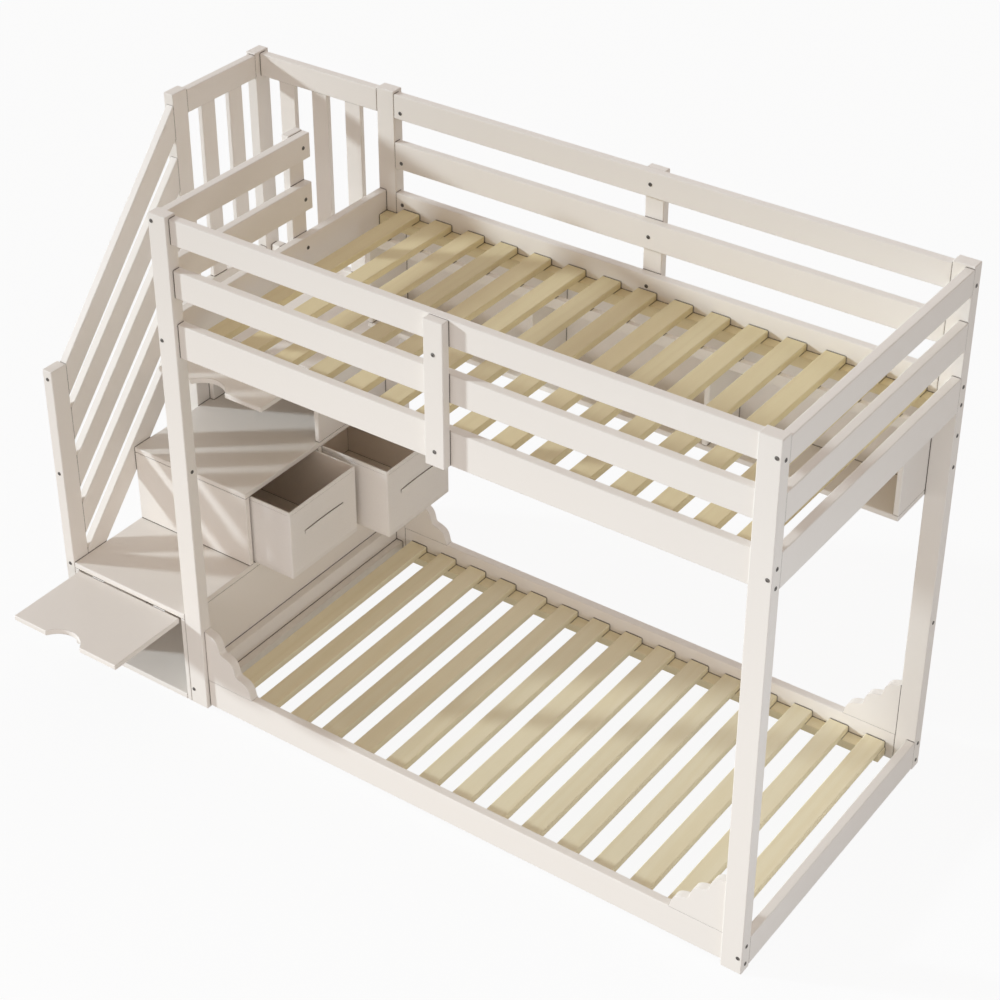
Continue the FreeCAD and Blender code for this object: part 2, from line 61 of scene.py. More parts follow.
# ------------------------ node graphs
class Graph:
    """One node tree, with short calls for adding and joining nodes."""

    def __init__(self, tree: bpy.types.NodeTree) -> None:
        """Take hold of the tree of a material, a world or a shader group."""
        self.tree = tree

    def node(self, kind: str, **inputs: object) -> bpy.types.Node:
        """Add a node and set its inputs.

        Args:
            kind: The node's Blender type name.
            **inputs: What to fill its inputs with.

        Returns:
            The new node.
        """
        made = self.tree.nodes.new(kind)
        self.fill(made, **inputs)
        return made

    def fill(self, node: bpy.types.Node, **inputs: object) -> None:
        """Set a node's inputs.

        Args:
            node: The node.
            **inputs: A value or an output socket for each input, by its name with underscores for spaces.
        """
        for name, value in inputs.items():
            self.feed(node.inputs[name.replace("_", " ")], value)

    def feed(self, socket: bpy.types.NodeSocket, value: object) -> None:
        """Give an input socket a plain value, or link it from another socket's output."""
        if isinstance(value, bpy.types.NodeSocket):
            self.tree.links.new(value, socket)
        else:
            socket.default_value = value

    def math(self, operation: str, first: object, second: object = 0.0) -> bpy.types.NodeSocket:
        """Add a Math node.

        Args:
            operation: The operation's Blender name.
            first: The first value or socket.
            second: The second value or socket.

        Returns:
            The result's socket.
        """
        made = self.tree.nodes.new("ShaderNodeMath")
        made.operation = operation
        self.feed(made.inputs[0], first)
        self.feed(made.inputs[1], second)
        return made.outputs[0]

    def vector_math(self, operation: str, first: object, second: object) -> bpy.types.NodeSocket:
        """Add a Vector Math node.

        Args:
            operation: The operation's Blender name.
            first: The first vector or socket.
            second: The second vector or socket.

        Returns:
            The vector's socket, or the number's for a dot product.
        """
        made = self.tree.nodes.new("ShaderNodeVectorMath")
        made.operation = operation
        self.feed(made.inputs[0], first)
        self.feed(made.inputs[1], second)
        return made.outputs["Value" if operation == "DOT_PRODUCT" else "Vector"]

    def mix(self, share: object, first: object, second: object, blend: str = "MIX") -> bpy.types.NodeSocket:
        """Mix two colours.

        Args:
            share: How much of the second colour.
            first: The first colour or socket.
            second: The second colour or socket.
            blend: The blend mode's Blender name.

        Returns:
            The mixed colour's socket.
        """
        made = self.tree.nodes.new("ShaderNodeMix")
        made.data_type = "RGBA"
        made.blend_type = blend
        self.feed(made.inputs["Factor"], share)
        self.feed(made.inputs[6], first)
        self.feed(made.inputs[7], second)
        return made.outputs[2]

    def span(self, value: object, low: float, high: float, to_low: float = 0.0,
             to_high: float = 1.0) -> bpy.types.NodeSocket:
        """Map a value from one span to another, held at the ends.

        Args:
            value: The value or socket.
            low: Where the first span starts.
            high: Where the first span ends.
            to_low: What low becomes.
            to_high: What high becomes.

        Returns:
            The mapped value's socket.
        """
        made = self.node("ShaderNodeMapRange", Value=value)
        for name, number in (("From Min", low), ("From Max", high), ("To Min", to_low), ("To Max", to_high)):
            made.inputs[name].default_value = number
        return made.outputs[0]

    def noise(self, place: bpy.types.NodeSocket, scale: float, detail: float,
              roughness: float = 0.5) -> bpy.types.NodeSocket:
        """Add a Noise Texture.

        Args:
            place: The vector to read it at.
            scale: How fine it is.
            detail: How many finer layers it has.
            roughness: How much each finer layer counts.

        Returns:
            The noise's socket.
        """
        made = self.node("ShaderNodeTexNoise", Vector=place, Scale=scale, Detail=detail, Roughness=roughness)
        return made.outputs[0]

    def seen(self) -> bpy.types.NodeSocket:
        """One for a ray that shows the surface to the camera, straight, mirrored or through glass."""
        rays = self.node("ShaderNodeLightPath").outputs
        return self.math("MAXIMUM", rays["Is Camera Ray"], self.math(
            "MAXIMUM", rays["Is Glossy Ray"], rays["Is Transmission Ray"]))


class Effect:
    """A shader node group with named inputs and outputs, built once and shared."""

    title = "effect"
    sockets_in: tuple[tuple[str, str, object], ...] = ()
    sockets_out: tuple[tuple[str, str], ...] = ()

    def group(self) -> bpy.types.NodeTree:
        """Give the shared node group, building it the first time."""
        found = bpy.data.node_groups.get(self.title)
        if found:
            return found
        tree = bpy.data.node_groups.new(self.title, "ShaderNodeTree")
        for name, kind, value in self.sockets_in:
            socket = tree.interface.new_socket(name, in_out="INPUT", socket_type=kind)
            socket.default_value = value
        for name, kind in self.sockets_out:
            tree.interface.new_socket(name, in_out="OUTPUT", socket_type=kind)
        graph = Graph(tree)
        source = tree.nodes.new("NodeGroupInput")
        sink = tree.nodes.new("NodeGroupOutput")
        self.build(graph, source.outputs, sink.inputs)
        return tree

    def build(self, graph: Graph, given: bpy.types.NodeInputs, result: bpy.types.NodeInputs) -> None:
        """Fill the group with nodes.

        Args:
            graph: The group's tree.
            given: The group's input sockets.
            result: The group's output sockets.
        """
        raise NotImplementedError

    def place(self, graph: Graph, **inputs: object) -> bpy.types.NodeOutputs:
        """Put the group into a material's tree, fill its inputs, and give its outputs."""
        made = graph.tree.nodes.new("ShaderNodeGroup")
        made.node_tree = self.group()
        graph.fill(made, **inputs)
        return made.outputs


NUMBER = "NodeSocketFloat"
COLOR = "NodeSocketColor"
VECTOR = "NodeSocketVector"


class SoftArris(Effect):
    """The rounded arris of a sanded board: a softened normal, and a mask along the edge."""

    title = "soft_arris"
    sockets_in = (("Radius", NUMBER, 0.002),)
    sockets_out = (("Mask", NUMBER), ("Normal", VECTOR))
    samples = 4
    flat, turned = 0.995, 0.85

    def build(self, graph: Graph, given: bpy.types.NodeInputs, result: bpy.types.NodeInputs) -> None:
        """Compare the softened normal with the flat one."""
        bevel = graph.node("ShaderNodeBevel", Radius=given["Radius"])
        bevel.samples = self.samples
        flat = graph.node("ShaderNodeNewGeometry").outputs["True Normal"]
        likeness = graph.vector_math("DOT_PRODUCT", bevel.outputs["Normal"], flat)
        mask = graph.span(likeness, self.flat, self.turned)
        graph.feed(result["Mask"], mask)
        graph.feed(result["Normal"], bevel.outputs["Normal"])


class JointShade(Effect):
    """Painted shade where two pieces meet and in inside corners: a colour darkened where ambient occlusion
    finds the surface closed in.
    """

    title = "joint_shade"
    sockets_in = (
        ("Color", COLOR, (0.8, 0.8, 0.8, 1.0)),
        ("Joint", COLOR, (0.1, 0.07, 0.05, 1.0)),
        ("Reach", NUMBER, 0.005),
        ("Strength", NUMBER, 0.8),
    )
    sockets_out = (("Color", COLOR),)
    samples = 6
    free, closed_in = 0.86, 0.5

    def build(self, graph: Graph, given: bpy.types.NodeInputs, result: bpy.types.NodeInputs) -> None:
        """Find how closed in the surface is and darken it there as painted shade."""
        open_sky = graph.node("ShaderNodeAmbientOcclusion", Distance=given["Reach"])
        open_sky.samples = self.samples
        deep = graph.span(open_sky.outputs["AO"], self.free, self.closed_in)
        mask = graph.math("MULTIPLY", deep, given["Strength"])
        graph.feed(result["Color"], graph.mix(mask, given["Color"], given["Joint"]))


class PaintFilm(Effect):
    """Satin paint: faint mottling, fine roller texture, a lighter arris that is a painted highlight with a
    little wear of the paint, and thinner paint over the grain.
    """

    title = "paint_film"
    sockets_in = (
        ("Paint", COLOR, (0.8, 0.77, 0.72, 1.0)),
        ("Undertone", COLOR, (0.7, 0.66, 0.6, 1.0)),
        ("Edge", COLOR, (0.85, 0.83, 0.8, 1.0)),
        ("Edge Mask", NUMBER, 0.0),
        ("Mottle", NUMBER, 0.3),
        ("Roughness", NUMBER, 0.45),
        ("Stretch", VECTOR, (1.0, 1.0, 1.0)),
        ("Grain", NUMBER, 0.5),
    )
    sockets_out = (("Color", COLOR), ("Roughness", NUMBER), ("Height", NUMBER))
    edge_share, drag_share, roughness_spread = 0.55, 0.6, 0.07

    def build(self, graph: Graph, given: bpy.types.NodeInputs, result: bpy.types.NodeInputs) -> None:
        """Layer the broad tone, the roller texture and the edges."""
        place = graph.node("ShaderNodeTexCoord").outputs["Object"]
        broad = graph.noise(place, 1.7, 3.0)
        share = graph.math("MULTIPLY", graph.span(broad, 0.35, 0.7), given["Mottle"])
        tone = graph.mix(share, given["Paint"], given["Undertone"])
        # Painted highlight: the arris takes the lighter edge colour, with a little wear of the paint.
        arris_highlight = graph.math("MULTIPLY", given["Edge Mask"], self.edge_share)
        graph.feed(result["Color"], graph.mix(arris_highlight, tone, given["Edge"]))
        fine = graph.noise(place, 420.0, 2.0, 0.6)
        drag = graph.noise(place, 38.0, 4.0, 0.7)
        spread = graph.span(drag, 0.3, 0.7, -self.roughness_spread, self.roughness_spread)
        graph.feed(result["Roughness"], graph.math("ADD", given["Roughness"], spread))
        drawn = graph.vector_math("MULTIPLY", place, given["Stretch"])
        grain = graph.noise(drawn, 150.0, 3.0, 0.6)
        pores = graph.math("MULTIPLY", graph.span(grain, 0.35, 0.65), given["Grain"])
        texture = graph.math("ADD", fine, graph.math("MULTIPLY", drag, self.drag_share))
        graph.feed(result["Height"], graph.math("ADD", texture, pores))


class TimberGrain(Effect):
    """Planed softwood: growth rings and fibres drawn out along the board, each board its own."""

    title = "timber_grain"
    sockets_in = (
        ("Early Wood", COLOR, (0.7, 0.56, 0.36, 1.0)),
        ("Late Wood", COLOR, (0.5, 0.34, 0.17, 1.0)),
        ("Stretch", VECTOR, (1.0, 0.05, 1.0)),
        ("Board Axis", VECTOR, (1.0, 0.0, 0.0)),
        ("Board Start", NUMBER, 0.0),
        ("Board Pitch", NUMBER, 0.124),
    )
    sockets_out = (("Color", COLOR), ("Roughness", NUMBER), ("Height", NUMBER))
    ring_way = (52.0, 31.0, 74.0)
    ring_turn, sway_reach = 2.2, 14.0
    late_share, fibre_share = 0.3, 0.22

    def build(self, graph: Graph, given: bpy.types.NodeInputs, result: bpy.types.NodeInputs) -> None:
        """Number the boards, then lay rings and fibres over each."""
        place = graph.node("ShaderNodeTexCoord").outputs["Object"]
        along = graph.vector_math("DOT_PRODUCT", place, given["Board Axis"])
        offset = graph.math("SUBTRACT", along, given["Board Start"])
        number = graph.math("FLOOR", graph.math("DIVIDE", offset, given["Board Pitch"]))
        chance = graph.node("ShaderNodeTexWhiteNoise")
        chance.noise_dimensions = "1D"
        graph.feed(chance.inputs["W"], graph.math("ADD", number, 0.37))
        shift = graph.node("ShaderNodeCombineXYZ", X=graph.math("MULTIPLY", chance.outputs["Value"], 3.1),
                           Y=graph.math("MULTIPLY", chance.outputs["Value"], 9.7), Z=number)
        moved = graph.vector_math("ADD", place, shift.outputs[0])
        drawn = graph.vector_math("MULTIPLY", moved, given["Stretch"])
        sway = graph.noise(drawn, 9.0, 2.0)
        ring_sum = graph.math("ADD", graph.vector_math("DOT_PRODUCT", drawn, self.ring_way),
                              graph.math("MULTIPLY", sway, self.sway_reach))
        ring = graph.math("MULTIPLY", graph.math("ADD", graph.math("SINE", graph.math(
            "MULTIPLY", ring_sum, self.ring_turn)), 1.0), 0.5)
        late = graph.math("POWER", ring, 2.0)
        fibre = graph.noise(drawn, 420.0, 3.0, 0.6)
        fibres = graph.span(fibre, 0.35, 0.7)
        share = graph.math("ADD", graph.math("MULTIPLY", late, self.late_share),
                           graph.math("MULTIPLY", fibres, self.fibre_share))
        wood = graph.mix(share, given["Early Wood"], given["Late Wood"])
        tone = graph.span(chance.outputs["Value"], 0.0, 1.0, 0.95, 1.04)
        shade = graph.node("ShaderNodeCombineColor", Red=tone, Green=tone, Blue=tone)
        graph.feed(result["Color"], graph.mix(1.0, wood, shade.outputs[0], "MULTIPLY"))
        graph.feed(result["Roughness"], graph.span(late, 0.0, 1.0, 0.62, 0.5))
        graph.feed(result["Height"], graph.math("ADD", graph.math("MULTIPLY", fibres, 0.6),
                                                graph.math("MULTIPLY", late, 0.5)))


class ClothWeave(Effect):
    """A plain weave of fine threads, crossing in steps along all three axes."""

    title = "cloth_weave"
    sockets_in = (
        ("Thread", COLOR, (0.55, 0.5, 0.44, 1.0)),
        ("Gap", COLOR, (0.35, 0.3, 0.25, 1.0)),
        ("Thread Pitch", NUMBER, 0.0011),
    )
    sockets_out = (("Color", COLOR), ("Roughness", NUMBER), ("Height", NUMBER))

    def build(self, graph: Graph, given: bpy.types.NodeInputs, result: bpy.types.NodeInputs) -> None:
        """Add one ripple for each axis and roughen it with slubs."""
        place = graph.node("ShaderNodeTexCoord").outputs["Object"]
        parts = graph.node("ShaderNodeSeparateXYZ", Vector=place)
        turn = graph.math("DIVIDE", 2.0 * math.pi, given["Thread Pitch"])
        waves = [graph.math("SINE", graph.math("MULTIPLY", parts.outputs[axis], turn)) for axis in range(3)]
        ripple = graph.math("ADD", graph.math("ADD", waves[0], waves[1]), waves[2])
        height = graph.span(ripple, -2.0, 2.0)
        slub = graph.noise(place, 160.0, 3.0, 0.7)
        tone = graph.noise(place, 9.0, 2.0)
        open_weave = graph.math("MULTIPLY", graph.span(height, 0.2, 0.75, 1.0, 0.0), 0.35)
        slubs = graph.span(slub, 0.45, 0.75, 0.0, 0.25)
        shade = graph.math("ADD", graph.math("ADD", open_weave, slubs),
                           graph.span(tone, 0.3, 0.7, 0.0, 0.1))
        graph.feed(result["Color"], graph.mix(shade, given["Thread"], given["Gap"]))
        graph.feed(result["Roughness"], graph.span(height, 0.0, 1.0, 0.95, 0.8))
        graph.feed(result["Height"], graph.math("ADD", height, graph.math("MULTIPLY", slub, 0.5)))


# ------------------------ finishes
def new_material(name: str) -> tuple[bpy.types.Material, Graph, bpy.types.Node]:
    """Make an empty material with a Principled shader on its output.

    Args:
        name: The material's name.

    Returns:
        The material, its graph and its shader.
    """
    material = bpy.data.materials.new(name)
    material.use_nodes = True
    graph = Graph(material.node_tree)
    material.node_tree.nodes.clear()
    shader = graph.node("ShaderNodeBsdfPrincipled")
    graph.node("ShaderNodeOutputMaterial", Surface=shader.outputs[0])
    return material, graph, shader


def bump(graph: Graph, height: bpy.types.NodeSocket, distance: float, strength: float,
         normal: bpy.types.NodeSocket | None = None) -> bpy.types.NodeSocket:
    """Turn a height into a normal.

    Args:
        graph: The material's tree.
        height: The height's socket.
        distance: How deep a height of one is, in metres.
        strength: How much of the effect to show.
        normal: A normal to work on, or none for the surface's own.

    Returns:
        The normal's socket.
    """
    made = graph.node("ShaderNodeBump", Height=height)
    made.inputs["Distance"].default_value = distance
    made.inputs["Strength"].default_value = strength
    if normal is not None:
        graph.feed(made.inputs["Normal"], normal)
    return made.outputs[0]


class Grain(Enum):
    """How the paint follows the wood under it: drawn out along one axis, or even over a panel."""

    ALONG_X = (0.04, 1.0, 1.0)
    ALONG_Y = (1.0, 0.04, 1.0)
    ALONG_Z = (1.0, 1.0, 0.04)
    EVEN = (1.0, 1.0, 1.0)


# Colours of the painted shade laid where pieces meet, in inside corners, and round and inside the bolt heads.
JOINT_SHADE_BROWN: Color = (0.11, 0.076, 0.053, 1.0)
JOINT_SHADE_BLACK: Color = (0.02, 0.018, 0.016, 1.0)


@dataclass(frozen=True)
class SatinPaint:
    """Warm white satin paint on board."""

    name: str
    paint: Color
    undertone: Color
    # Lighter colour for the arrises: a painted highlight, with a little wear of the paint.
    edge: Color
    grain: Grain = Grain.EVEN
    grain_depth: float = 0.6
    mottle: float = 0.25
    roughness: float = 0.45
    arris: float = 0.0022
    # Reach and strength of the painted shade in joints and inside corners.
    joint_shade_reach: float = 0.0048
    joint_shade_strength: float = 0.85

    def material(self) -> bpy.types.Material:
        """Give the finish as a material."""
        material, graph, shader = new_material(self.name)
        arris = SoftArris().place(graph, Radius=self.arris)
        film = PaintFilm().place(graph, Paint=self.paint, Undertone=self.undertone, Edge=self.edge,
                                 Edge_Mask=arris["Mask"], Mottle=self.mottle, Roughness=self.roughness,
                                 Stretch=self.grain.value, Grain=self.grain_depth)
        # Painted shade darkens joints and inside corners.
        joint_shaded = JointShade().place(graph, Color=film["Color"], Joint=JOINT_SHADE_BROWN, Reach=self.joint_shade_reach,
                                   Strength=self.joint_shade_strength)
        graph.fill(shader, Base_Color=joint_shaded["Color"], Roughness=film["Roughness"],
                   Normal=bump(graph, film["Height"], 0.0002, 0.25, arris["Normal"]))
        return material


@dataclass(frozen=True)
class PlanedPine:
    """Bare planed pine, its grain drawn out along one axis."""

    name: str
    early: Color
    late: Color
    grain: Grain
    board_axis: tuple[float, float, float]
    board_start: float
    board_pitch: float
    arris: float = 0.002
    joint_shade_strength: float = 0.75

    def material(self) -> bpy.types.Material:
        """Give the finish as a material."""
        material, graph, shader = new_material(self.name)
        wood = TimberGrain().place(graph, Early_Wood=self.early, Late_Wood=self.late,
                                   Stretch=self.grain.value, Board_Axis=self.board_axis,
                                   Board_Start=self.board_start, Board_Pitch=self.board_pitch)
        arris = SoftArris().place(graph, Radius=self.arris)
        # Painted shade darkens the joints, such as the slats' ends against the rails.
        joint_shaded = JointShade().place(graph, Color=wood["Color"], Joint=JOINT_SHADE_BROWN,
                                   Strength=self.joint_shade_strength)
        graph.fill(shader, Base_Color=joint_shaded["Color"], Roughness=wood["Roughness"],
                   Normal=bump(graph, wood["Height"], 0.0003, 0.35, arris["Normal"]))
        return material


@dataclass(frozen=True)
class BinCloth:
    """Woven cloth stretched over the boards of a bin."""

    name: str
    thread: Color
    gap: Color
    pitch: float = 0.0012
    joint_shade_reach: float = 0.004
    joint_shade_strength: float = 0.8
    sheen: float = 0.1

    def material(self) -> bpy.types.Material:
        """Give the finish as a material."""
        material, graph, shader = new_material(self.name)
        weave = ClothWeave().place(graph, Thread=self.thread, Gap=self.gap, Thread_Pitch=self.pitch)
        # Painted shade darkens the cloth's seams and inside corners.
        joint_shaded = JointShade().place(graph, Color=weave["Color"], Joint=JOINT_SHADE_BROWN,
                                   Reach=self.joint_shade_reach, Strength=self.joint_shade_strength)
        graph.fill(shader, Base_Color=joint_shaded["Color"], Roughness=weave["Roughness"],
                   Normal=bump(graph, weave["Height"], 0.0003, 0.4), Sheen_Weight=self.sheen)
        return material


@dataclass(frozen=True)
class PlatedSteel:
    """Dark zinc plated steel with a faint grain."""

    name: str
    bright: Color
    dull: Color
    roughness: float = 0.5
    joint_shade_reach: float = 0.0016
    joint_shade_strength: float = 0.8

    def material(self) -> bpy.types.Material:
        """Give the finish as a material."""
        material, graph, shader = new_material(self.name)
        place = graph.node("ShaderNodeTexCoord").outputs["Object"]
        cloud = graph.noise(place, 240.0, 4.0, 0.65)
        share = graph.span(cloud, 0.3, 0.7)
        # Painted shade darkens the socket and the foot of each head.
        joint_shaded = JointShade().place(graph, Color=graph.mix(share, self.bright, self.dull), Joint=JOINT_SHADE_BLACK,
                                   Reach=self.joint_shade_reach, Strength=self.joint_shade_strength)
        graph.fill(shader, Base_Color=joint_shaded["Color"], Metallic=1.0, Normal=bump(graph, cloud, 0.0001, 0.2),
                   Roughness=graph.span(cloud, 0.3, 0.7, self.roughness - 0.08, self.roughness + 0.1))
        return material


# ------------------------ mesh helpers
def mesh_object(name: str, form: bmesh.types.BMesh, smooth_angle: float = 35.0) -> bpy.types.Object:
    """Turn a bmesh into an object in the scene, smooth where its faces meet gently.

    Args:
        name: The object's name.
        form: The mesh, which is freed.
        smooth_angle: Faces meeting at less than this angle, in degrees, shade as one.

    Returns:
        The object.
    """
    bmesh.ops.recalc_face_normals(form, faces=form.faces)
    limit = math.radians(smooth_angle)
    for face in form.faces:
        face.smooth = True
    for edge in form.edges:
        edge.smooth = len(edge.link_faces) == 2 and edge.calc_face_angle(0.0) < limit
    mesh = bpy.data.meshes.new(name)
    form.to_mesh(mesh)
    form.free()
    made = bpy.data.objects.new(name, mesh)
    bpy.context.scene.collection.objects.link(made)
    return made


def rounded_outline(half_x: float, half_y: float, radius: float, steps: int) -> list[tuple[float, float]]:
    """Points round a rectangle with rounded corners.

    Args:
        half_x: Half the width.
        half_y: Half the depth.
        radius: The corners' radius.
        steps: Straight steps in each corner.

    Returns:
        The points, anticlockwise.
    """
    points = []
    centres = ((half_x - radius, half_y - radius, 0.0), (-half_x + radius, half_y - radius, 90.0),
               (-half_x + radius, -half_y + radius, 180.0), (half_x - radius, -half_y + radius, 270.0))
    for x, y, start in centres:
        for step in range(steps + 1):
            turn = math.radians(start + 90.0 * step / steps)
            points.append((x + radius * math.cos(turn), y + radius * math.sin(turn)))
    return points


def bridge(form: bmesh.types.BMesh, lower: list[bmesh.types.BMVert],
           upper: list[bmesh.types.BMVert]) -> None:
    """Join two rings of the same number of points with quads.

    Args:
        form: The mesh to add to.
        lower: The first ring.
        upper: The second ring.
    """
    count = len(lower)
    for index in range(count):
        after = (index + 1) % count
        form.faces.new((lower[index], lower[after], upper[after], upper[index]))


def islands(mesh: bpy.types.Mesh) -> list[list[Vector]]:
    """Split a mesh's points into its separate solids.

    Args:
        mesh: The mesh.

    Returns:
        The points of each solid.
    """
    form = bmesh.new()
    form.from_mesh(mesh)
    bmesh.ops.remove_doubles(form, verts=form.verts, dist=1e-6)
    seen: set[bmesh.types.BMVert] = set()
    groups = []
    for start in form.verts:
        if start in seen:
            continue
        seen.add(start)
        stack, group = [start], []
        while stack:
            point = stack.pop()
            group.append(point.co.copy())
            for edge in point.link_edges:
                other = edge.other_vert(point)
                if other not in seen:
                    seen.add(other)
                    stack.append(other)
        groups.append(group)
    form.free()
    return groups


# ------------------------ sub-assemblies
def wear(piece: bpy.types.Object, material: bpy.types.Material) -> None:
    """Give a piece one material all over."""
    piece.data.materials.clear()
    piece.data.materials.append(material)


@dataclass
class PaintedJoinery:
    """Every painted board, panel and post, which keeps its shape from the frame."""

    paint: Color = (0.865, 0.815, 0.757, 1.0)
    undertone: Color = (0.835, 0.783, 0.722, 1.0)
    # Lighter arris colour: a painted highlight, with a little wear of the paint.
    edge: Color = (0.885, 0.845, 0.80, 1.0)
    panel_words: tuple[str, ...] = ("tread", "base_", "riser", "bay_", "landing_box", "stair_back", "flap_",
                                    "shelf")

    def dress(self, nodes: list[str]) -> int:
        """Give each node its paint, which follows the grain of solid boards and lies even on panels.

        Args:
            nodes: The painted nodes' names.

        Returns:
            How many nodes were painted.
        """
        finishes = {grain: self.finish(grain).material() for grain in Grain}
        for name in nodes:
            wear(frame["nodes"][name], finishes[self.grain_of(name)])
        return len(nodes)

    def finish(self, grain: Grain) -> SatinPaint:
        """The paint over one kind of wood."""
        depth = 0.0 if grain is Grain.EVEN else 0.6
        return SatinPaint("paint_" + grain.name.lower(), self.paint, self.undertone, self.edge, grain, depth)

    def grain_of(self, name: str) -> Grain:
        """Which way the wood of a node runs: along its longest side, or no way in a panel."""
        if name.startswith(self.panel_words):
            return Grain.EVEN
        points = islands(frame["nodes"][name].data)[0]
        spans = [max(p[axis] for p in points) - min(p[axis] for p in points) for axis in range(3)]
        return (Grain.ALONG_X, Grain.ALONG_Y, Grain.ALONG_Z)[spans.index(max(spans))]


@dataclass
class ScallopedBrackets:
    """The four brackets on the floor rails, whose lobes flow into each other as sanded ones do."""

    names: tuple[str, ...] = ("bracket_front_left", "bracket_front_right", "bracket_back_left",
                              "bracket_back_right")
    lobes: int = 3
    bulge: float = 0.017
    softness: float = 0.3
    steps: int = 72

    def build(self, paint: bpy.types.Material) -> int:
        """Model each bracket in the space of its node.

        Args:
            paint: The brackets' finish.

        Returns:
            How many were modelled.
        """
        for name in self.names:
            made = self.bracket(name, name.endswith("left"))
            wear(made, paint)
            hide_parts(name)
            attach(made, ROOT)
        return len(self.names)

    def swell(self, share: float) -> float:
        """How far the edge stands off the straight line from top to tip, at a share of its length."""
        wave = math.hypot(math.sin(self.lobes * math.pi * share), self.softness) - self.softness
        return self.bulge * wave / (math.hypot(1.0, self.softness) - self.softness)

    def bracket(self, name: str, faces_right: bool) -> bpy.types.Object:
        """One bracket: the profile of its lobes drawn through the board's thickness.

        Args:
            name: The node's name.
            faces_right: Whether the bracket runs to the right of its post.

        Returns:
            The bracket.
        """
        low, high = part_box(name)
        way = 1.0 if faces_right else -1.0
        heel_x = low.x if faces_right else high.x
        length, height = high.x - low.x, high.z - low.z
        across = Vector((height, 0.0, length)).normalized()
        outline = [(heel_x, low.z)]
        for step in range(self.steps + 1):
            share = step / self.steps
            off = self.swell(share)
            outline.append((heel_x + way * (length * share + off * across.x),
                            low.z + height * (1.0 - share) + off * across.z))
        form = bmesh.new()
        front, back = ([form.verts.new((x, y, z)) for x, z in outline] for y in (low.y, high.y))
        bridge(form, front, back)
        form.faces.new(list(reversed(front)))
        form.faces.new(back)
        return mesh_object(name + "_sanded", form)


@dataclass
class SlattedDecks:
    """The bare pine slats and ledgers of both decks."""

    # One pine for both decks; the lower deck's copy is painted lighter than the upper's, as painted light for
    # the stronger light on the lower deck.
    lower_early_painted_light: Color = (0.865, 0.78, 0.56, 1.0)
    lower_late_painted_light: Color = (0.80, 0.69, 0.435, 1.0)
    upper_early: Color = (0.775, 0.67, 0.42, 1.0)
    upper_late: Color = (0.70, 0.565, 0.32, 1.0)

    def dress(self) -> int:
        """Give slats a grain across the bed and ledgers a grain along it.

        Returns:
            How many nodes were dressed.
        """
        low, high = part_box("lower_slats")
        pitch = self.slat_pitch()
        # The lower deck's tones carry painted light.
        tones = {"lower": (self.lower_early_painted_light, self.lower_late_painted_light), "upper": (self.upper_early, self.upper_late)}
        for deck, (early, late) in tones.items():
            slats = PlanedPine(deck + "_slat_pine", early, late, Grain.ALONG_Y, (1.0, 0.0, 0.0),
                               low.x - pitch / 4.0, pitch)
            ledgers = PlanedPine(deck + "_ledger_pine", early, late, Grain.ALONG_X, (0.0, 1.0, 0.0),
                                 low.y, (high.y - low.y) / 2.0)
            wear(frame["nodes"][deck + "_slats"], slats.material())
            wear(frame["nodes"][deck + "_ledgers"], ledgers.material())
        return 2 * len(tones)

    def slat_pitch(self) -> float:
        """Distance from one slat to the next, read from the frame."""
        starts = sorted(min(p.x for p in group) for group in islands(frame["nodes"]["lower_slats"].data))
        return (starts[-1] - starts[0]) / (len(starts) - 1)


